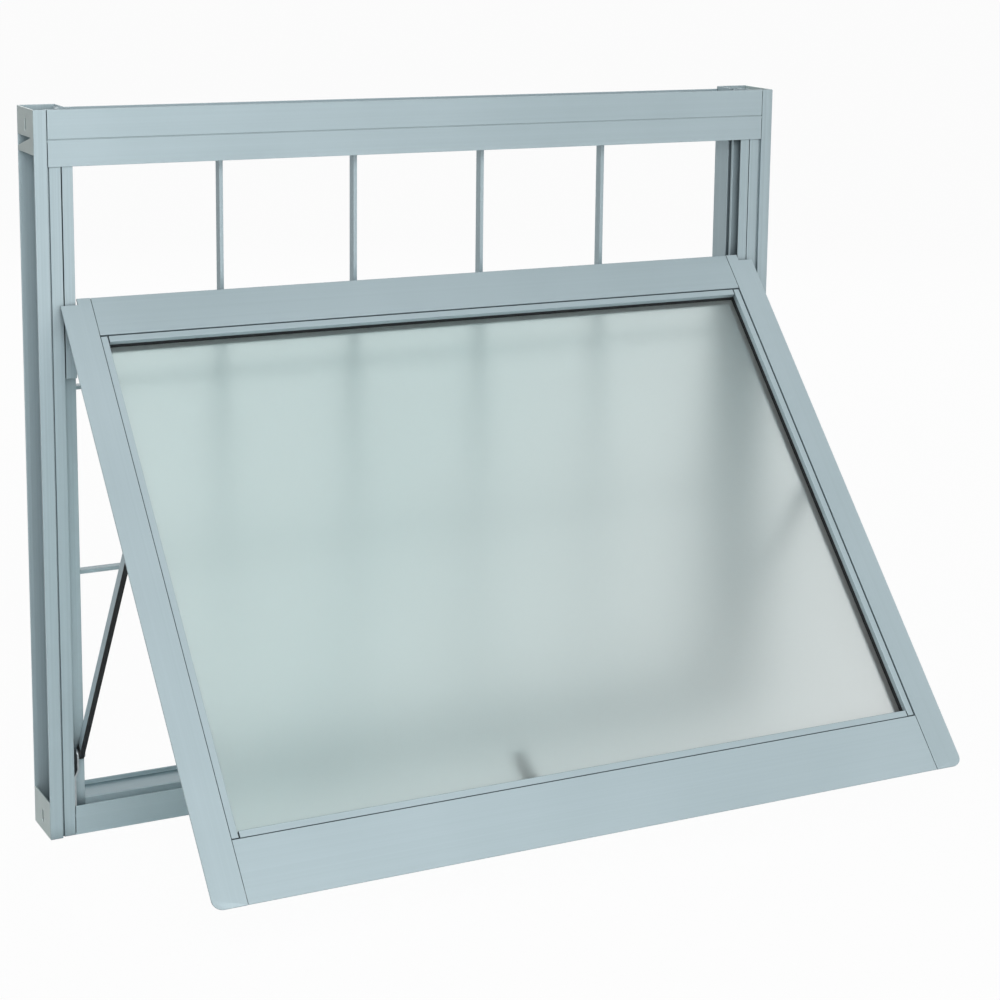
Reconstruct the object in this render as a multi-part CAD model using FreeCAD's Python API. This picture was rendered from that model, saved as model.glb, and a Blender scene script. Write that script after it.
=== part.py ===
import FreeCAD, Part
import math
import os

# Top hung awning window: outer frame, sash that slides and swings on two friction stays, inner grille.
# Millimetres. +X to the right seen from outside, +Y into the room, +Z up.
# The origin is the centre of the sill's underside.

Vec = FreeCAD.Vector

# Outer frame
frame_width = 680.0
frame_height = 600.0
frame_depth = 47.0
wall = 1.5

# Jamb section, measured inward from the jamb's outer side and back from the frame's front
lip_width = 10.5
strip_setback = 2.0
lip_groove_width = 1.6
lip_groove_depth = 1.2
web_inset = 21.5
fin_front = 12.5
fin_reach = 33.0
fin_thickness = 3.0
groove_inset = 24.5
groove_back = 24.0
reveal_inset = 31.0

# Head and sill sections
head_height = 45.0
head_seam_drop = 24.0
head_seam_width = 0.8
head_seam_depth = 0.5
head_back_drop = 2.5
head_fin_drop = 33.0
sill_face_height = 25.0
sill_rib_height = 27.0
sill_channel_height = 17.0
sill_deck_height = 25.0
sill_back_height = 28.5
joint_gap = 0.5

# Track covers, clipped into the upper part of the jambs' track channels
cover_bottom = 385.0
cover_lip = 1.2
cover_gap = 0.8

# Anchor plates bent into the channels on the outer sides of the jambs
anchor_thickness = 1.2
anchor_slot_length = 11.5
anchor_slot_width = 4.5
anchor_slot_inset = 13.0
lower_anchor_height = 31.0
upper_anchor_height = 35.5
anchor_notch_drop = 22.5
anchor_notch_height = 9.0
anchor_neck = 9.0

# Grille behind the sash
grille_bar_count = 4
grille_pitch = 119.0
bar_thickness = 3.2
bar_depth = 9.0
bar_setback = 30.0
lap_clearance = 0.1
lower_rail_height = 217.0
upper_rail_height = 372.0

# Sash, measured on the closed sash: depth from its face, drop from its flange's top edge
sash_inset = 18.0
sash_length = 506.0
sash_depth = 22.0
sash_proud = 2.5
sheet = 1.6
stile_width = 25.0
flange_width = 14.0
stile_tube_inset = 18.5
tube_rise = 6.0
top_rail_drop = 29.5
bottom_rail_height = 48.5
corner_radius = 8.0
rail_gap = 0.4

# Glazing
glass_thickness = 4.0
glass_setback = 11.0
glass_clearance = 2.0
front_gasket_depth = 5.0
gasket_recess = 0.4
bead_groove = 0.7
bead_width = 5.5
bead_setback = 1.0
bead_wall = 1.2
bead_gap = 1.0
stop_setback = 16.0
stop_reach = 8.0

# Linkage in the track channel
track_line = 7.0
stay_length = 261.2
sash_arm = 212.0
frame_pivot_height = 68.0
top_pin_rise = 2.0
sash_open_deg = 43.2
stay_width = 9.0
stay_thickness = 4.3
channel_wall = 0.9
liner_cap = 1.0
knuckle_length = 9.0
pivot_radius = 2.0
pivot_clearance = 0.05
rivet_head_radius = 3.4
rivet_head_height = 0.7
side_clearance = 0.4
top_pin_radius = 2.2
pin_end_inset = 24.5

# Frame-side bracket of a stay, a strip cranked away from the jamb's web
bracket_thickness = 1.5
bracket_crank = 2.6
crank_bottom = 50.0
crank_top = 55.0
nose_radius = 4.5

# Sash-side bracket of a stay
ear_length = 26.0
ear_thickness = 1.5
carrier_length = 16.0
carrier_depth = 12.0
carrier_thickness = 2.2

# Latch on the room side of the bottom rail
latch_offset = -40.0
latch_width = 22.0
latch_height = 26.0
latch_depth = 4.0
latch_corner = 5.0
latch_edge = 1.0
hub_radius = 8.5
hub_thickness = 6.5
lever_length = 58.0
lever_width = 13.0
lever_tip_width = 9.0
lever_thickness = 5.0
lever_tip_thickness = 4.0
lever_lean_deg = 18.0
lever_edge = 1.2

half_width = frame_width / 2
front = -frame_depth / 2
stay_rest_angle = math.asin(sash_arm * math.sin(math.radians(sash_open_deg)) / stay_length)
stay_inset = web_inset + bracket_crank + bracket_thickness + side_clearance
frame_pivot = Vec(0, front + track_line, frame_pivot_height)
sash_pivot_closed = frame_pivot + Vec(0, 0, stay_length)
top_pin_closed = sash_pivot_closed + Vec(0, 0, sash_arm)
sash_face = front - sash_proud
sash_top = top_pin_closed.z - top_pin_rise
sash_bottom = sash_top - sash_length
pivot_depth = track_line + sash_proud
x_axis = Vec(1, 0, 0)


def save(node, shape):
    solid = shape.removeSplitter()
    if solid.ShapeType == "Compound" and len(solid.Solids) == 1:
        solid = solid.Solids[0]
    solid.exportStep(os.path.join("parts", node + ".step"))
    print(node, "solids", len(solid.Solids), "valid", solid.isValid(), "mm3", round(solid.Volume))


def mirrored(shape):
    return shape.mirror(Vec(0, 0, 0), x_axis)


def strip(path, thickness):
    """Outline of a wall that follows a path of 2D points, with its body on the path's left side."""
    offset = []
    last = len(path) - 1
    for index, (px, py) in enumerate(path):
        before = unit(path[max(index - 1, 0)], path[max(index, 1)])
        after = unit(path[min(index, last - 1)], path[min(index + 1, last)])
        normal_x = -before[1] - after[1]
        normal_y = before[0] + after[0]
        scale = 2 * thickness / (normal_x ** 2 + normal_y ** 2)
        offset.append((px + normal_x * scale, py + normal_y * scale))
    return list(path) + offset[::-1]


def unit(start, end):
    length = math.hypot(end[0] - start[0], end[1] - start[1])
    return ((end[0] - start[0]) / length, (end[1] - start[1]) / length)


def closed_face(points):
    return Part.Face(Part.makePolygon(points + [points[0]]))


def fused(shapes):
    whole = shapes[0]
    if len(shapes) > 1:
        whole = whole.multiFuse(shapes[1:])
    return whole.removeSplitter()


def upright(outlines, bottom, top):
    """Section outlines in (inset from the left side, depth from the front), extruded upwards."""
    rims = [[Vec(x - half_width, front + y, bottom) for x, y in outline] for outline in outlines]
    return fused([closed_face(rim).extrude(Vec(0, 0, top - bottom)) for rim in rims])


def level(outlines, left, right):
    """Section outlines in (depth from the front, height), extruded to the right."""
    rims = [[Vec(left, front + y, z) for y, z in outline] for outline in outlines]
    return fused([closed_face(rim).extrude(Vec(right - left, 0, 0)) for rim in rims])


def box(low, high):
    return Part.makeBox(high[0] - low[0], high[1] - low[1], high[2] - low[2], Vec(*low))


def along_x(radius, left, right, centre):
    return Part.makeCylinder(radius, right - left, Vec(left, centre.y, centre.z), x_axis)


def jamb_lip_path():
    """Outline of the jamb's front lip, with the groove at its foot."""
    groove_floor = strip_setback + lip_groove_depth
    groove_end = lip_width + lip_groove_width
    return [(0, 0), (lip_width, 0), (lip_width, groove_floor), (groove_end, groove_floor),
            (groove_end, strip_setback)]


def jamb_track_path():
    """Outline of the strip beside the lip, the side of the track channel and the fin behind it."""
    return [(web_inset, strip_setback), (web_inset, fin_front),
            (fin_reach, fin_front), (fin_reach, fin_front + fin_thickness)]


def jamb_back_path():
    """Outline of the groove behind the fin, the reveal and the flange at the back."""
    return [(groove_inset, groove_back), (reveal_inset, groove_back),
            (reveal_inset, frame_depth), (0, frame_depth)]


def jamb():
    front_path = jamb_lip_path() + jamb_track_path()
    back_path = [(groove_inset, fin_front)] + jamb_back_path()
    return upright([strip(front_path, wall), strip(back_path, wall)], 0, frame_height)


def jamb_envelope():
    """Space that a jamb takes from a rail that ends on it."""
    front_path = [(0, 0), (lip_width, 0), (lip_width, strip_setback)] + jamb_track_path()
    outline = front_path + [(groove_inset, fin_front + fin_thickness)] + jamb_back_path()
    return upright([outline], 0, frame_height)


def coped(rail):
    envelope = jamb_envelope()
    return rail.cut(envelope).cut(mirrored(envelope))


def head():
    web = frame_height - head_seam_drop
    soffit = frame_height - reveal_inset
    lower_edge = frame_height - head_height
    back_top = frame_height - head_back_drop
    fin_bottom = frame_height - head_fin_drop
    flange_end = half_width - lip_width - joint_gap
    flange = level([strip([(0, frame_height), (0, lower_edge)], wall)], -flange_end, flange_end)
    seam = level([[(0, web), (head_seam_depth, web), (head_seam_depth, web + head_seam_width),
                   (0, web + head_seam_width)]], -flange_end, flange_end)
    step = strip([(groove_back, soffit), (groove_back, web), (0, web)], wall)
    back = strip([(groove_back - wall, soffit), (frame_depth, soffit), (frame_depth, back_top)], wall)
    fin = strip([(fin_front + wall, fin_bottom), (fin_front + wall, web)], wall)
    rear = coped(level([step, back, fin], -half_width, half_width))
    return flange.cut(seam).fuse(rear)


def sill():
    """Face, water channel behind it, rib, deck and the upstand on the room side."""
    rib_back = fin_front + wall
    face_end = half_width - web_inset - joint_gap
    face = level([strip([(strip_setback + wall, 0), (strip_setback + wall, sill_face_height)], wall)],
                 -face_end, face_end)
    floor = strip([(rib_back, sill_channel_height), (strip_setback, sill_channel_height)], wall)
    rib = strip([(rib_back, sill_channel_height), (rib_back, sill_rib_height)], wall)
    base = strip([(strip_setback, 0), (frame_depth, 0), (frame_depth, sill_back_height)], wall)
    deck = strip([(frame_depth - wall, sill_deck_height), (fin_front, sill_deck_height)], wall)
    rear = coped(level([floor, rib, base, deck], -half_width, half_width))
    return face.fuse(rear)


def track_cover():
    side = web_inset + cover_gap
    path = [(side, fin_front), (side, strip_setback), (reveal_inset, strip_setback)]
    return upright([strip(path, cover_lip)], cover_bottom, frame_height - head_seam_drop - wall)


def anchor_plate(outline):
    """A plate across the outer channel, outlined in (depth, distance from the frame's end), with its slot."""
    side = -half_width
    rim = [Vec(side, front + y, z) for y, z in outline]
    plate = closed_face(rim).extrude(Vec(anchor_thickness, 0, 0))
    radius = anchor_slot_width / 2
    middle = front + frame_depth / 2
    low = anchor_slot_inset - anchor_slot_length / 2 + radius
    high = anchor_slot_inset + anchor_slot_length / 2 - radius
    right = side + anchor_thickness
    slot = box((side, middle - radius, low), (right, middle + radius, high))
    ends = [along_x(radius, side, right, Vec(0, middle, z)) for z in (low, high)]
    return plate.cut(fused([slot] + ends))


def anchor_ledge(reach, height):
    """Edge of an anchor plate bent inwards across the outer channel."""
    return box((-half_width, front + wall + strip_setback, height - anchor_thickness),
               (reach - half_width, front + frame_depth - wall, height))


def lower_anchor():
    back = frame_depth - wall
    height = lower_anchor_height
    return anchor_plate([(wall, 0), (back, 0), (back, height), (wall, height)])


def upper_anchor():
    back = frame_depth - wall
    notch_end = anchor_notch_drop + anchor_notch_height
    outline = [(wall, 0), (back, 0), (back, anchor_notch_drop), (anchor_neck, anchor_notch_drop),
               (back, notch_end), (back, upper_anchor_height), (wall, upper_anchor_height)]
    plate = anchor_plate(outline).fuse(anchor_ledge(lip_width - wall, upper_anchor_height))
    hung = plate.mirror(Vec(0, 0, 0), Vec(0, 0, 1))
    hung.translate(Vec(0, 0, frame_height))
    return hung


def grille_bar(x):
    """Flat bar on edge between the sill's deck and the soffit, halved at the front where rails cross it."""
    half = bar_thickness / 2
    depth = front + bar_setback - bar_depth / 2
    bar = box((x - half, depth, sill_deck_height), (x + half, depth + bar_depth, frame_height - reveal_inset))
    slot = half + lap_clearance
    for height in (lower_rail_height, upper_rail_height):
        bar = bar.cut(box((x - half, depth, height - slot), (x + half, depth + bar_depth / 2, height + slot)))
    return bar


def grille_rail(height):
    """Flat bar between the jambs, halved at the back where it crosses the upright bars."""
    half = bar_thickness / 2
    reach = half_width - reveal_inset
    depth = front + bar_setback - bar_depth / 2
    rail = box((-reach, depth, height - half), (reach, depth + bar_depth, height + half))
    slot = half + lap_clearance
    for x in bar_places():
        rail = rail.cut(box((x - slot, depth + bar_depth / 2, height - half),
                            (x + slot, depth + bar_depth, height + half)))
    return rail


def bar_places():
    first = -grille_pitch * (grille_bar_count - 1) / 2
    return [first + grille_pitch * index for index in range(grille_bar_count)]


def sash_upright(outlines, drop_top, drop_bottom):
    """Section outlines in (inset from the sash's left edge, depth from its face)."""
    left = sash_inset
    shifted = [[(x + left, y - sash_proud) for x, y in outline] for outline in outlines]
    return upright(shifted, sash_top - drop_bottom, sash_top - drop_top)


def sash_level(outlines, left, right):
    """Section outlines in (depth from the sash's face, drop from its flange's top edge)."""
    shifted = [[(y - sash_proud, sash_top - v) for y, v in outline] for outline in outlines]
    return level(shifted, left, right)


def stile():
    flange = [(0, 0), (stile_width, 0), (stile_width, sheet), (0, sheet)]
    tube = [(stile_tube_inset, 0), (stile_width, 0),
            (stile_width, sash_depth), (stile_tube_inset, sash_depth)]
    hollow = [(stile_tube_inset + wall, wall), (stile_width - wall, wall),
              (stile_width - wall, sash_depth - wall), (stile_tube_inset + wall, sash_depth - wall)]
    stop = [(stile_width - wall, stop_setback), (stile_width + stop_reach, stop_setback),
            (stile_width + stop_reach, stop_setback + wall), (stile_width - wall, stop_setback + wall)]
    tube_end = sash_length - stile_tube_inset
    body = sash_upright([tube], -tube_rise, tube_end).cut(sash_upright([hollow], -tube_rise, tube_end))
    body = body.fuse(sash_upright([flange], -tube_rise, sash_length))
    body = body.fuse(sash_upright([stop], top_rail_drop, sash_length - bottom_rail_height))
    notch = sash_upright([[(0, 0), (flange_width, 0), (flange_width, sheet), (0, sheet)]], -tube_rise, 0)
    body = body.cut(notch).removeSplitter()
    corner = [edge for edge in body.Edges if is_lower_corner(edge)]
    return body.makeFillet(corner_radius, corner)


def is_lower_corner(edge):
    low = edge.BoundBox
    at_side = low.XMax < sash_inset - half_width + joint_gap
    at_bottom = low.ZMax < sash_bottom + joint_gap
    return at_side and at_bottom and low.YLength > joint_gap


def rail(drop_top, drop_bottom, stop_drop):
    """A rail between the stiles: a closed tube with a stop for the glass on its inner edge."""
    tube = [(0, drop_top), (sash_depth, drop_top), (sash_depth, drop_bottom), (0, drop_bottom)]
    hollow = [(wall, drop_top + wall), (sash_depth - wall, drop_top + wall),
              (sash_depth - wall, drop_bottom - wall), (wall, drop_bottom - wall)]
    inner_edge = drop_bottom if stop_drop > drop_bottom else drop_top
    stop = [(stop_setback, inner_edge), (stop_setback + wall, inner_edge),
            (stop_setback + wall, stop_drop), (stop_setback, stop_drop)]
    stop_end = half_width - sash_inset - stile_width - stop_reach
    reach = half_width - sash_inset - stile_width - rail_gap
    body = sash_level([tube], -reach, reach).cut(sash_level([hollow], -reach, reach))
    return body.fuse(sash_level([stop], -stop_end, stop_end))


def top_rail():
    return rail(-tube_rise, top_rail_drop, top_rail_drop + stop_reach)


def bottom_rail():
    """A rail whose face runs on below its tube, as the flanges of the stiles do beside theirs."""
    upper_edge = sash_length - bottom_rail_height
    tube_end = sash_length - stile_tube_inset
    reach = half_width - sash_inset - stile_width - rail_gap
    flange = sash_level([[(0, upper_edge), (sheet, upper_edge), (sheet, sash_length), (0, sash_length)]],
                        -reach, reach)
    return rail(upper_edge, tube_end, upper_edge - stop_reach).fuse(flange)


def pane_frame(inset, depth_front, depth_back):
    """A block as large as the glazing opening, less an inset on every side."""
    reach = half_width - sash_inset - stile_width - inset
    top = sash_top - top_rail_drop - inset
    bottom = sash_bottom + bottom_rail_height + inset
    return box((-reach, sash_face + depth_front, bottom), (reach, sash_face + depth_back, top))


def glass_pane():
    return pane_frame(glass_clearance, glass_setback, glass_setback + glass_thickness)


def gasket(depth_front, depth_back, inner_inset):
    outer = pane_frame(glass_clearance, depth_front, depth_back)
    return outer.cut(pane_frame(inner_inset, depth_front, depth_back))


def front_gasket():
    """Wedge between the glass and the feet of the beads."""
    return gasket(glass_setback - front_gasket_depth, glass_setback, bead_groove + bead_width - gasket_recess)


def back_gasket():
    return gasket(glass_setback + glass_thickness, stop_setback, stop_reach)


def bead_section():
    """Depth and distance from the rail's edge: a face, a wall down to the gasket and a foot."""
    outer = bead_groove
    inner = bead_groove + bead_width
    foot = glass_setback - front_gasket_depth
    face = [(bead_setback, outer), (bead_setback + bead_wall, outer),
            (bead_setback + bead_wall, inner), (bead_setback, inner)]
    leg = [(bead_setback, inner - bead_wall), (foot, inner - bead_wall), (foot, inner), (bead_setback, inner)]
    base = [(foot - bead_wall, 0), (foot, 0), (foot, inner), (foot - bead_wall, inner)]
    return [face, leg, base]


def side_bead():
    outlines = [[(stile_width + t, n) for n, t in outline] for outline in bead_section()]
    return sash_upright(outlines, top_rail_drop + bead_gap, sash_length - bottom_rail_height - bead_gap)


def cross_bead(outlines):
    """A bead between the two side beads."""
    reach = half_width - sash_inset - stile_width - bead_groove - bead_width - bead_gap
    return sash_level(outlines, -reach, reach)


def top_bead():
    return cross_bead([[(n, top_rail_drop + t) for n, t in outline] for outline in bead_section()])


def bottom_bead():
    edge = sash_length - bottom_rail_height
    return cross_bead([[(n, edge - t) for n, t in outline] for outline in bead_section()])


def stay_channel():
    """Aluminium channel of a stay, upright, open to the front, between the two knuckles."""
    lips = track_line - stay_width / 2 + liner_cap
    back = track_line + stay_width / 2
    left = stay_inset
    right = stay_inset + stay_thickness
    path = [(right, lips), (right, back), (left, back), (left, lips)]
    low = frame_pivot_height + knuckle_length
    high = sash_pivot_closed.z - knuckle_length
    return upright([strip(path, channel_wall)], low, high)


def stay_liner():
    """Black nylon core of a stay, with a cap over the channel's lips and a bored knuckle at each end."""
    half = stay_width / 2
    left = stay_inset - half_width
    right = left + stay_thickness
    low = frame_pivot_height + knuckle_length
    high = sash_pivot_closed.z - knuckle_length
    face = front + track_line - half
    core = box((left + channel_wall, face, low),
               (right - channel_wall, front + track_line + half - channel_wall, high))
    cap = box((left, face, low), (right, face + liner_cap, high))
    whole = core.fuse(cap)
    for centre, direction in ((frame_pivot, 1), (sash_pivot_closed, -1)):
        end = centre.z + direction * knuckle_length
        block = box((left, centre.y - half, min(centre.z, end)), (right, centre.y + half, max(centre.z, end)))
        whole = whole.fuse(block).fuse(along_x(half, left, right, centre))
    for centre in (frame_pivot, sash_pivot_closed):
        whole = whole.cut(along_x(pivot_radius + pivot_clearance, left, right, centre))
    return whole


def stay_bracket():
    """Strip on the jamb's web, cranked inwards to a rounded nose that carries the stay's lower pivot."""
    edge = frame_pivot.y - nose_radius
    nose_top = frame_pivot_height + nose_radius
    right = web_inset + bracket_thickness
    path = [(right, sill_face_height), (right, crank_bottom), (right + bracket_crank, crank_top),
            (right + bracket_crank, nose_top)]
    profile = closed_face([Vec(x - half_width, edge, z) for x, z in strip(path, bracket_thickness)])
    leaf = profile.extrude(Vec(0, front + fin_front - edge, 0))
    leaf_right = right + bracket_crank - half_width
    below = box((web_inset - half_width, edge, sill_face_height),
                (leaf_right, front + fin_front, frame_pivot_height))
    nose = along_x(nose_radius, web_inset - half_width, leaf_right, frame_pivot)
    head_left = stay_inset + stay_thickness + side_clearance - half_width
    pin = along_x(pivot_radius, leaf_right, head_left, frame_pivot)
    rivet = along_x(rivet_head_radius, head_left, head_left + rivet_head_height, frame_pivot)
    return fused([leaf.common(below.fuse(nose)), pin, rivet])


def sash_bracket():
    """Angle on the back of the stile's flange whose ear carries the stay's upper pivot."""
    ear_left = stay_inset + stay_thickness + side_clearance - half_width
    ear_right = ear_left + ear_thickness
    centre = sash_pivot_closed
    low = centre.z - ear_length / 2
    high = centre.z + ear_length / 2
    back = sash_face + pivot_depth + nose_radius
    ear = box((ear_left, sash_face + sheet, low), (ear_right, back, high))
    foot_right = sash_inset + stile_tube_inset - half_width
    foot = box((ear_left, sash_face + sheet, low), (foot_right, sash_face + sheet + ear_thickness, high))
    head_right = stay_inset - side_clearance - half_width
    pin = along_x(pivot_radius, head_right, ear_left, centre)
    rivet = along_x(rivet_head_radius, head_right - rivet_head_height, head_right, centre)
    return fused([ear, foot, pin, rivet])


def top_pin():
    """Pin on the stile's upper end that slides behind the track cover."""
    tube_side = sash_inset + stile_tube_inset - half_width
    left = tube_side - carrier_thickness
    centre = top_pin_closed
    depth = centre.y - carrier_depth / 2
    carrier = box((left, depth, sash_top + tube_rise - carrier_length),
                  (tube_side, depth + carrier_depth, sash_top + tube_rise))
    pin = along_x(top_pin_radius, pin_end_inset - half_width, left, centre)
    return carrier.fuse(pin)


def latch_centre():
    """Middle of the latch's plate, on the back of the bottom rail's tube."""
    height = sash_bottom + (bottom_rail_height + stile_tube_inset) / 2
    return Vec(latch_offset, sash_face + sash_depth, height)


def latch_base():
    centre = latch_centre()
    back = centre.y + latch_depth
    plate = box((centre.x - latch_width / 2, centre.y, centre.z - latch_height / 2),
                (centre.x + latch_width / 2, back, centre.z + latch_height / 2))
    corners = [edge for edge in plate.Edges if edge.BoundBox.YLength > latch_depth / 2]
    plate = plate.makeFillet(latch_corner, corners)
    rim = [edge for edge in plate.Edges if edge.BoundBox.YMin > back - latch_edge / 2]
    return plate.makeChamfer(latch_edge, rim)


def lever_section(width, thickness, depth, height):
    """Outline across the lever, in mid-air at its own depth and height."""
    corners = [Vec(latch_offset - width / 2, depth, height), Vec(latch_offset + width / 2, depth, height),
               Vec(latch_offset + width / 2, depth + thickness, height),
               Vec(latch_offset - width / 2, depth + thickness, height)]
    return Part.makePolygon(corners + corners[:1])


def latch_lever():
    """Tapered lever that leans into the room from a round hub."""
    centre = latch_centre()
    depth = centre.y + latch_depth
    lean = lever_length * math.tan(math.radians(lever_lean_deg))
    root = lever_section(lever_width, lever_thickness, depth, centre.z)
    tip = lever_section(lever_tip_width, lever_tip_thickness, depth + lean, centre.z + lever_length)
    arm = Part.makeLoft([root, tip], True, True)
    outer = [edge for edge in arm.Edges if edge.BoundBox.ZMax > centre.z + lever_length / 2]
    arm = arm.makeFillet(lever_edge, outer)
    hub = Part.makeCylinder(hub_radius, hub_thickness, Vec(centre.x, depth, centre.z), Vec(0, 1, 0))
    return fused([arm, hub])


def swung_stay(shape):
    turned = shape.copy()
    turned.rotate(frame_pivot, x_axis, math.degrees(stay_rest_angle))
    return turned


def swung_sash(shape):
    swing = FreeCAD.Rotation(x_axis, math.degrees(stay_rest_angle))
    pivot_open = frame_pivot + swing.multVec(Vec(0, 0, stay_length))
    turned = shape.copy()
    turned.rotate(sash_pivot_closed, x_axis, -sash_open_deg)
    turned.translate(pivot_open - sash_pivot_closed)
    return turned


def save_pair(name, shape, place):
    save("left_" + name, place(shape))
    save("right_" + name, place(mirrored(shape)))


def stays_put(shape):
    return shape


os.makedirs("parts", exist_ok=True)
save_pair("jamb", jamb(), stays_put)
save("head", head())
save("sill", sill())
save_pair("track_cover", track_cover(), stays_put)
save_pair("upper_anchor", upper_anchor(), stays_put)
save_pair("lower_anchor", lower_anchor(), stays_put)
for number, bar_x in enumerate(bar_places(), 1):
    save("grille_bar_%d" % number, grille_bar(bar_x))
save("lower_grille_rail", grille_rail(lower_rail_height))
save("upper_grille_rail", grille_rail(upper_rail_height))
save_pair("stay_bracket", stay_bracket(), stays_put)
save_pair("stay_channel", stay_channel(), swung_stay)
save_pair("stay_liner", stay_liner(), swung_stay)
save_pair("stile", stile(), swung_sash)
save("top_rail", swung_sash(top_rail()))
save("bottom_rail", swung_sash(bottom_rail()))
save("glass_pane", swung_sash(glass_pane()))
save("front_gasket", swung_sash(front_gasket()))
save("back_gasket", swung_sash(back_gasket()))
save_pair("bead", side_bead(), swung_sash)
save("top_bead", swung_sash(top_bead()))
save("bottom_bead", swung_sash(bottom_bead()))
save_pair("sash_bracket", sash_bracket(), swung_sash)
save_pair("top_pin", top_pin(), swung_sash)
save("latch_base", swung_sash(latch_base()))
save("latch_lever", swung_sash(latch_lever()))
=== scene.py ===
import math

import bmesh
import bpy
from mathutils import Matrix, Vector


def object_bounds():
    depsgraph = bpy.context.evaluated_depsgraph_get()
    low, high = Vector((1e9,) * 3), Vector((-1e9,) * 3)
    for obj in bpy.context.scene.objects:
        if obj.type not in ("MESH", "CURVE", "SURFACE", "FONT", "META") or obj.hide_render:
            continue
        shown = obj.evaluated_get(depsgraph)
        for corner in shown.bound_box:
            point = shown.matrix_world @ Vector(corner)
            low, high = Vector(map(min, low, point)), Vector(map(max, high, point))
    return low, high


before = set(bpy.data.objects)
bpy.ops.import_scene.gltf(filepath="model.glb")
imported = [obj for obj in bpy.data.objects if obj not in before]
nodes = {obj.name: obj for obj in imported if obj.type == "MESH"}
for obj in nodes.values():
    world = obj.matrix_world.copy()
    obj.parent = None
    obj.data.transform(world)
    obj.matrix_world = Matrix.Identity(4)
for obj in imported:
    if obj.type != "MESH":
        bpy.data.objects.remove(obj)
cadLow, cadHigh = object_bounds()
print("frame loaded")

scene = bpy.context.scene
white = (1.0, 1.0, 1.0, 1.0)


# Camera, at the photograph's viewing angle
cameraValues = {
    "location": (-0.8364, -1.8459, 0.7804),
    "turnDegrees": (79.36, -1.101, -28.589),
    "lens": 85.381,
    "sensorWidth": 36.0,
    "shiftX": -0.1,
    "shiftY": -0.17,
    "farthest": 200.0,
}


def makeCamera(values):
    data = bpy.data.cameras.new("camera")
    data.lens = values["lens"]
    data.sensor_fit = "HORIZONTAL"
    data.sensor_width = values["sensorWidth"]
    data.shift_x = values["shiftX"]
    data.shift_y = values["shiftY"]
    data.clip_end = values["farthest"]
    cameraObject = bpy.data.objects.new("camera", data)
    cameraObject.location = values["location"]
    cameraObject.rotation_euler = [math.radians(angle) for angle in values["turnDegrees"]]
    scene.collection.objects.link(cameraObject)
    scene.camera = cameraObject


makeCamera(cameraValues)
scene.view_settings.view_transform = "Standard"
print("camera placed")


# Lamps: one broad soft key in front of the frame, a little above it, and a weak one behind the pane
lampValues = {
    "key": {"place": (-0.75, -2.4, 1.25), "size": 1.3, "power": 39.5},
    "room": {"place": (0.9, 2.2, 1.6), "size": 2.2, "power": 16.0},
}
lampTarget = Vector((0.0, -0.1, 0.3))


def makeLamp(name, values):
    data = bpy.data.lights.new(name, "AREA")
    data.shape = "SQUARE"
    data.size = values["size"]
    data.energy = values["power"]
    lamp = bpy.data.objects.new(name, data)
    lamp.location = values["place"]
    aim = lampTarget - lamp.location
    lamp.rotation_euler = aim.to_track_quat("-Z", "Y").to_euler()
    scene.collection.objects.link(lamp)


for lampName, lampSettings in lampValues.items():
    makeLamp(lampName, lampSettings)


def anyRay(tree, rayNames):
    # 1 where the ray is of one of these kinds, else 0
    path = tree.nodes.new("ShaderNodeLightPath")
    found = path.outputs[rayNames[0]]
    for rayName in rayNames[1:]:
        either = tree.nodes.new("ShaderNodeMath")
        either.operation = "MAXIMUM"
        tree.links.new(found, either.inputs[0])
        tree.links.new(path.outputs[rayName], either.inputs[1])
        found = either.outputs[0]
    return found


# World: white to the eye and in gloss and glass, a soft level on everything else, weaker from overhead
worldValues = {"ambient": 0.46, "overhead": 0.25, "seen": 1.0}


def makeWorld(values):
    world = bpy.data.worlds.new("studioWorld")
    scene.world = world
    world.use_nodes = True
    tree = world.node_tree
    tree.nodes.clear()
    place = tree.nodes.new("ShaderNodeTexCoord")
    height = tree.nodes.new("ShaderNodeSeparateXYZ")
    tree.links.new(place.outputs["Generated"], height.inputs["Vector"])
    ambient = tree.nodes.new("ShaderNodeMapRange")
    ambient.inputs["To Min"].default_value = values["ambient"]
    ambient.inputs["To Max"].default_value = values["overhead"]
    tree.links.new(height.outputs["Z"], ambient.inputs["Value"])
    strength = tree.nodes.new("ShaderNodeMapRange")
    strength.inputs["To Max"].default_value = values["seen"]
    seen = anyRay(tree, ("Is Camera Ray", "Is Glossy Ray", "Is Transmission Ray"))
    tree.links.new(seen, strength.inputs["Value"])
    tree.links.new(ambient.outputs["Result"], strength.inputs["To Min"])
    background = tree.nodes.new("ShaderNodeBackground")
    background.inputs["Color"].default_value = white
    tree.links.new(strength.outputs["Result"], background.inputs["Strength"])
    output = tree.nodes.new("ShaderNodeOutputWorld")
    tree.links.new(background.outputs[0], output.inputs["Surface"])


makeWorld(worldValues)


# Floor: pale, white to the camera, with the window's soft shadow kept
floorValues = {"side": 60.0, "drop": 0.0005, "colour": (0.93, 0.93, 0.93, 1.0), "whiteShare": 0.955}


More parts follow.
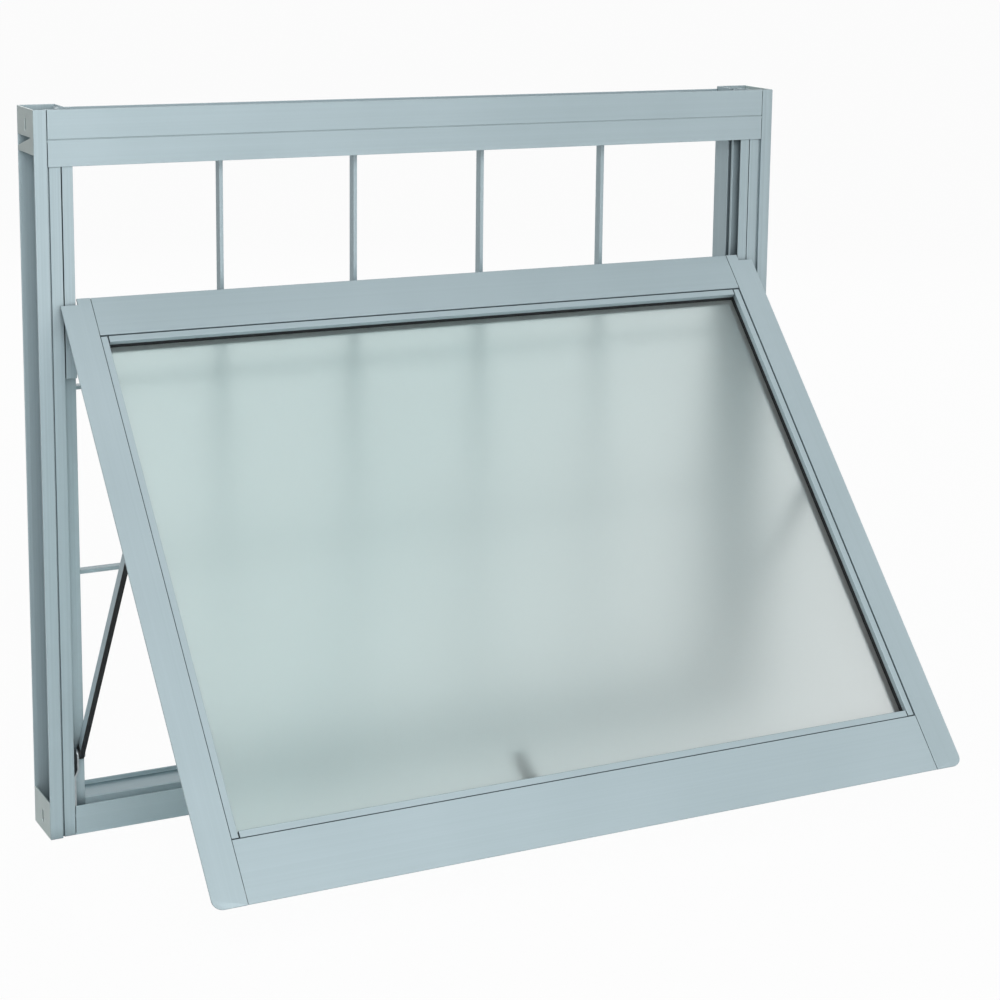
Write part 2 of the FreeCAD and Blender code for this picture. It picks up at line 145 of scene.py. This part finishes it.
def makeFloorMaterial(values):
    material = bpy.data.materials.new("paleFloor")
    material.use_nodes = True
    tree = material.node_tree
    tree.nodes.clear()
    diffuse = tree.nodes.new("ShaderNodeBsdfDiffuse")
    diffuse.inputs["Color"].default_value = values["colour"]
    glow = tree.nodes.new("ShaderNodeEmission")
    glow.inputs["Color"].default_value = white
    share = tree.nodes.new("ShaderNodeMath")
    share.operation = "MULTIPLY"
    share.inputs[1].default_value = values["whiteShare"]
    tree.links.new(anyRay(tree, ("Is Camera Ray", "Is Transmission Ray")), share.inputs[0])
    mix = tree.nodes.new("ShaderNodeMixShader")
    tree.links.new(share.outputs[0], mix.inputs["Fac"])
    tree.links.new(diffuse.outputs[0], mix.inputs[1])
    tree.links.new(glow.outputs[0], mix.inputs[2])
    output = tree.nodes.new("ShaderNodeOutputMaterial")
    tree.links.new(mix.outputs[0], output.inputs["Surface"])
    return material


def makeFloor(values):
    shape = bmesh.new()
    bmesh.ops.create_grid(shape, x_segments=1, y_segments=1, size=values["side"] / 2)
    bmesh.ops.translate(shape, verts=shape.verts, vec=(0.0, 0.0, cadLow.z - values["drop"]))
    mesh = bpy.data.meshes.new("floor")
    shape.to_mesh(mesh)
    shape.free()
    floor = bpy.data.objects.new("floor", mesh)
    scene.collection.objects.link(floor)
    mesh.materials.append(makeFloorMaterial(values))


makeFloor(floorValues)
print("studio made")


# Small helpers that materials and groups share
def startMaterial(name):
    material = bpy.data.materials.new(name)
    material.use_nodes = True
    tree = material.node_tree
    shader = tree.nodes["Principled BSDF"]
    place = tree.nodes.new("ShaderNodeTexCoord")
    return material, tree, shader, place


def setOrLink(tree, socket, source):
    # source is another node's socket or a plain colour
    if isinstance(source, bpy.types.NodeSocket):
        tree.links.new(source, socket)
    else:
        socket.default_value = source


def blendColours(tree, factor, first, second):
    mix = tree.nodes.new("ShaderNodeMix")
    mix.data_type = "RGBA"
    tree.links.new(factor, mix.inputs["Factor"])
    setOrLink(tree, mix.inputs["A"], first)
    setOrLink(tree, mix.inputs["B"], second)
    return mix.outputs["Result"]


def spread(tree, value, low, high, start=0.0, end=1.0):
    ranged = tree.nodes.new("ShaderNodeMapRange")
    ranged.inputs["From Min"].default_value = start
    ranged.inputs["From Max"].default_value = end
    ranged.inputs["To Min"].default_value = low
    ranged.inputs["To Max"].default_value = high
    tree.links.new(value, ranged.inputs["Value"])
    return ranged.outputs["Result"]


def makeNoise(tree, vector, scale, detail=2.0):
    noise = tree.nodes.new("ShaderNodeTexNoise")
    setOrLink(tree, noise.inputs["Scale"], scale)
    noise.inputs["Detail"].default_value = detail
    tree.links.new(vector, noise.inputs["Vector"])
    return noise.outputs["Fac"]


def turned(tree, place, turn):
    mapping = tree.nodes.new("ShaderNodeMapping")
    mapping.inputs["Rotation"].default_value = turn
    tree.links.new(place.outputs["Object"], mapping.inputs["Vector"])
    return mapping.outputs["Vector"]


def stretched(tree, vector, alongZ):
    stretch = tree.nodes.new("ShaderNodeVectorMath")
    stretch.operation = "MULTIPLY"
    stretch.inputs[1].default_value = (1.0, 1.0, alongZ)
    tree.links.new(vector, stretch.inputs[0])
    return stretch.outputs[0]


def bumped(tree, shader, height, distance, strength):
    bump = tree.nodes.new("ShaderNodeBump")
    bump.inputs["Distance"].default_value = distance
    bump.inputs["Strength"].default_value = strength
    tree.links.new(height, bump.inputs["Height"])
    tree.links.new(bump.outputs["Normal"], shader.inputs["Normal"])


# Shared effects, each a group that is built once
def makeGroup(name, inputs, outputs):
    group = bpy.data.node_groups.new(name, "ShaderNodeTree")
    for socketName, socketType, value in inputs:
        socket = group.interface.new_socket(socketName, in_out="INPUT", socket_type=socketType)
        if value is not None:
            socket.default_value = value
    for socketName, socketType in outputs:
        group.interface.new_socket(socketName, in_out="OUTPUT", socket_type=socketType)
    entry = group.nodes.new("NodeGroupInput")
    leave = group.nodes.new("NodeGroupOutput")
    return group, entry, leave


def placeGroup(tree, group):
    placed = tree.nodes.new("ShaderNodeGroup")
    placed.node_tree = group
    return placed


grainValues = {
    "lineScale": 700.0,
    "lineStretch": 0.003,
    "toneScale": 6.0,
    "lineShare": 0.4,
    "clearFrom": 0.3,
    "clearTo": 0.7,
}


def makeExtrusionGrain(values):
    # Fine lines that run along an extruded bar, and slow changes of tone between them
    group, entry, leave = makeGroup(
        "extrusionGrain",
        [("Along", "NodeSocketVector", None),
         ("Line Scale", "NodeSocketFloat", values["lineScale"]),
         ("Tone Scale", "NodeSocketFloat", values["toneScale"]),
         ("Line Share", "NodeSocketFloat", values["lineShare"])],
        [("Lines", "NodeSocketFloat"), ("Shade", "NodeSocketFloat")])
    along = stretched(group, entry.outputs["Along"], values["lineStretch"])
    lines = makeNoise(group, along, entry.outputs["Line Scale"])
    tone = makeNoise(group, entry.outputs["Along"], entry.outputs["Tone Scale"])
    shade = group.nodes.new("ShaderNodeMix")
    group.links.new(entry.outputs["Line Share"], shade.inputs["Factor"])
    group.links.new(tone, shade.inputs["A"])
    group.links.new(lines, shade.inputs["B"])
    clearer = spread(group, shade.outputs["Result"], 0.0, 1.0, values["clearFrom"], values["clearTo"])
    group.links.new(lines, leave.inputs["Lines"])
    group.links.new(clearer, leave.inputs["Shade"])
    return group


# Painted shade: the colour and range for faces that look up, and the colour, reach and range for channels
paintedShadeValues = {
    "hollow": (0.07, 0.095, 0.11, 1.0),
    "hollowReach": 0.027,
    "hollowRays": 8,
    "hollowFrom": 0.05,
    "hollowTo": 0.75,
    "paintedUpwardShade": (0.155, 0.232, 0.262, 1.0),
    "paintedUpwardShadeFrom": 0.85,
    "paintedUpwardShadeTo": 0.97,
}


def makePaintedShading(values):
    # Painted shade: faces that look straight up are painted darker, which the tilted sash has none of,
    # and deep channels and grooves are painted darker too
    group, entry, leave = makeGroup(
        "paintedShading",
        [("Metal", "NodeSocketColor", None),
         ("Upward", "NodeSocketFloat", 0.0),
         ("Openness", "NodeSocketFloat", 1.0)],
        [("Tone", "NodeSocketColor")])
    paintedUpwardShadeShare = spread(group, entry.outputs["Upward"], 0.0, 1.0, values["paintedUpwardShadeFrom"], values["paintedUpwardShadeTo"])
    paintedUpwardShaded = blendColours(group, paintedUpwardShadeShare, entry.outputs["Metal"], values["paintedUpwardShade"])
    openShare = spread(group, entry.outputs["Openness"], 0.0, 1.0, values["hollowFrom"], values["hollowTo"])
    tone = blendColours(group, openShare, values["hollow"], paintedUpwardShaded)
    group.links.new(tone, leave.inputs["Tone"])
    return group


extrusionGrain = makeExtrusionGrain(grainValues)
paintedShading = makePaintedShading(paintedShadeValues)


# Aluminium: satin, with its grain along each bar, and painted shade on upward faces and in channels
aluminiumValues = {
    "pale": (0.455, 0.56, 0.6, 1.0),
    "deep": (0.395, 0.495, 0.53, 1.0),
    "metallic": 0.3,
    "roughLow": 0.36,
    "roughHigh": 0.46,
    "lineHeight": 0.00002,
    "lineStrength": 0.35,
}
sashDegrees = 43.2
uprightTurn = (0.0, 0.0, 0.0)
levelTurn = (0.0, math.radians(90.0), 0.0)
sashTurn = (math.radians(sashDegrees), 0.0, 0.0)


def makeAluminium(name, turn, lineShare, values, hollowed=True):
    # turn brings the bar's own length onto the pattern's Z
    material, tree, shader, place = startMaterial(name)
    grain = placeGroup(tree, extrusionGrain)
    grain.inputs["Line Share"].default_value = lineShare
    tree.links.new(turned(tree, place, turn), grain.inputs["Along"])
    metal = blendColours(tree, grain.outputs["Shade"], values["deep"], values["pale"])
    # Painted shade on faces whose object normal points up, read from the normal's Z
    facing = tree.nodes.new("ShaderNodeSeparateXYZ")
    tree.links.new(place.outputs["Normal"], facing.inputs["Vector"])
    section = placeGroup(tree, paintedShading)
    tree.links.new(metal, section.inputs["Metal"])
    tree.links.new(facing.outputs["Z"], section.inputs["Upward"])
    # Painted shade in channels and grooves, from ambient occlusion within a short reach
    if hollowed:
        depth = tree.nodes.new("ShaderNodeAmbientOcclusion")
        depth.samples = paintedShadeValues["hollowRays"]
        depth.inputs["Distance"].default_value = paintedShadeValues["hollowReach"]
        tree.links.new(depth.outputs["AO"], section.inputs["Openness"])
    tree.links.new(section.outputs["Tone"], shader.inputs["Base Color"])
    rough = spread(tree, grain.outputs["Lines"], values["roughLow"], values["roughHigh"])
    tree.links.new(rough, shader.inputs["Roughness"])
    shader.inputs["Metallic"].default_value = values["metallic"]
    bumped(tree, shader, grain.outputs["Lines"], values["lineHeight"], values["lineStrength"])
    return material


uprightAluminium = makeAluminium("uprightAluminium", uprightTurn, 0.75, aluminiumValues)
levelAluminium = makeAluminium("levelAluminium", levelTurn, 0.3, aluminiumValues)
# The sill gets the painted shade on faces that look up, but no painted shade in its channels
sillAluminium = makeAluminium("sillAluminium", levelTurn, 0.3, aluminiumValues, hollowed=False)
stileAluminium = makeAluminium("stileAluminium", sashTurn, 0.3, aluminiumValues)
print("aluminium mixed")


# Black rubber of the gaskets and black nylon of the stays and the latch
softBlackValues = {
    "black": (0.007, 0.008, 0.009, 1.0),
    "grey": (0.016, 0.018, 0.02, 1.0),
    "gloss": 0.3,
    "roughSpread": 0.08,
    "grainDetail": 4.0,
    "grainStrength": 0.4,
    "rubber": {"rough": 0.62, "grainScale": 350.0, "grainHeight": 0.00006},
    "nylon": {"rough": 0.48, "grainScale": 700.0, "grainHeight": 0.00004},
}


def makeSoftBlack(name, kind, values):
    material, tree, shader, place = startMaterial(name)
    own = values[kind]
    noise = makeNoise(tree, place.outputs["Object"], own["grainScale"], values["grainDetail"])
    colour = blendColours(tree, noise, values["black"], values["grey"])
    tree.links.new(colour, shader.inputs["Base Color"])
    rough = spread(tree, noise, own["rough"] - values["roughSpread"], own["rough"] + values["roughSpread"])
    tree.links.new(rough, shader.inputs["Roughness"])
    shader.inputs["Specular IOR Level"].default_value = values["gloss"]
    bumped(tree, shader, noise, own["grainHeight"], values["grainStrength"])
    return material


gasketRubber = makeSoftBlack("gasketRubber", "rubber", softBlackValues)
blackNylon = makeSoftBlack("blackNylon", "nylon", softBlackValues)


# Zinc plated steel: bright on brackets and pins, dull on the anchors
steelValues = {
    "roughLow": 0.28,
    "roughHigh": 0.45,
    "grainHeight": 0.00003,
    "grainStrength": 0.3,
    "bright": {
        "pale": (0.56, 0.6, 0.62, 1.0),
        "deep": (0.42, 0.46, 0.48, 1.0),
        "metallic": 0.85,
        "scale": 220.0,
    },
    "dull": {
        "pale": (0.6, 0.69, 0.68, 1.0),
        "deep": (0.51, 0.6, 0.59, 1.0),
        "metallic": 0.3,
        "scale": 60.0,
    },
}


def makeZincSteel(name, kind, values):
    material, tree, shader, place = startMaterial(name)
    own = values[kind]
    noise = makeNoise(tree, place.outputs["Object"], own["scale"])
    colour = blendColours(tree, noise, own["deep"], own["pale"])
    tree.links.new(colour, shader.inputs["Base Color"])
    rough = spread(tree, noise, values["roughLow"], values["roughHigh"])
    tree.links.new(rough, shader.inputs["Roughness"])
    shader.inputs["Metallic"].default_value = own["metallic"]
    bumped(tree, shader, noise, values["grainHeight"], values["grainStrength"])
    return material


zincSteel = makeZincSteel("zincSteel", "bright", steelValues)
dullSteel = makeZincSteel("dullSteel", "dull", steelValues)


# Frosted pane: soft streaks from its top to its bottom, and a paler lower right corner
paneValues = {
    "clear": (0.645, 0.765, 0.76, 1.0),
    "cloud": (0.58, 0.7, 0.695, 1.0),
    "haze": (0.74, 0.775, 0.77, 1.0),
    "hazeWay": (0.8, -0.45, -0.4),
    "hazeStart": -0.12,
    "hazeEnd": 0.38,
    "streakScale": 9.0,
    "streakStretch": 0.12,
    "streakDetail": 0.5,
    "roughLow": 0.35,
    "roughHigh": 0.41,
    "transmission": 0.82,
    "refraction": 1.45,
    "frostScale": 1400.0,
    "frostHeight": 0.00004,
    "frostStrength": 0.12,
}


def makeFrostedPane(values):
    material, tree, shader, place = startMaterial("frostedPane")
    along = stretched(tree, turned(tree, place, sashTurn), values["streakStretch"])
    streaks = makeNoise(tree, along, values["streakScale"], values["streakDetail"])
    frost = makeNoise(tree, place.outputs["Object"], values["frostScale"])
    towards = tree.nodes.new("ShaderNodeVectorMath")
    towards.operation = "DOT_PRODUCT"
    towards.inputs[1].default_value = values["hazeWay"]
    tree.links.new(place.outputs["Object"], towards.inputs[0])
    hazeShare = spread(tree, towards.outputs["Value"], 0.0, 1.0, values["hazeStart"], values["hazeEnd"])
    streaked = blendColours(tree, streaks, values["cloud"], values["clear"])
    hazed = blendColours(tree, hazeShare, streaked, values["haze"])
    tree.links.new(hazed, shader.inputs["Base Color"])
    rough = spread(tree, streaks, values["roughLow"], values["roughHigh"])
    tree.links.new(rough, shader.inputs["Roughness"])
    shader.inputs["Transmission Weight"].default_value = values["transmission"]
    shader.inputs["IOR"].default_value = values["refraction"]
    bumped(tree, shader, frost, values["frostHeight"], values["frostStrength"])
    return material


frostedPane = makeFrostedPane(paneValues)
print("materials mixed")


# Each CAD node gets the finish of the real piece, and what neither list names is an upright bar
finishOf = {
    "head": levelAluminium,
    "sill": sillAluminium,
    "top_rail": levelAluminium,
    "bottom_rail": levelAluminium,
    "top_bead": levelAluminium,
    "bottom_bead": levelAluminium,
    "lower_grille_rail": levelAluminium,
    "upper_grille_rail": levelAluminium,
    "glass_pane": frostedPane,
    "front_gasket": gasketRubber,
    "back_gasket": gasketRubber,
    "latch_base": blackNylon,
    "latch_lever": blackNylon,
}
finishByEnding = {
    "stile": stileAluminium,
    "bead": stileAluminium,
    "stay_channel": stileAluminium,
    "stay_liner": blackNylon,
    "anchor": dullSteel,
    "stay_bracket": zincSteel,
    "sash_bracket": zincSteel,
    "top_pin": zincSteel,
}


def finishFor(name):
    if name in finishOf:
        return finishOf[name]
    for ending, finish in finishByEnding.items():
        if name.endswith(ending):
            return finish
    return uprightAluminium


# Edges: softened on all metal and nylon, a little more on the bars than on thin pieces
edgeValues = {"width": 0.00045, "thinWidth": 0.00025, "segments": 2, "angleDegrees": 35.0, "weld": 0.00001}
barEndings = ("jamb", "head", "sill", "rail", "stile", "bead")
plainNodes = ("glass_pane", "front_gasket", "back_gasket")


def softenEdges(name, piece, values):
    weld = piece.modifiers.new("weld", "WELD")
    weld.merge_threshold = values["weld"]
    bevel = piece.modifiers.new("edge", "BEVEL")
    bevel.width = values["width"] if name.endswith(barEndings) else values["thinWidth"]
    bevel.segments = values["segments"]
    bevel.limit_method = "ANGLE"
    bevel.angle_limit = math.radians(values["angleDegrees"])
    bevel.harden_normals = True


for nodeName, node in nodes.items():
    node.data.materials.clear()
    node.data.materials.append(finishFor(nodeName))
    if nodeName not in plainNodes:
        softenEdges(nodeName, node, edgeValues)
print("finishes given")
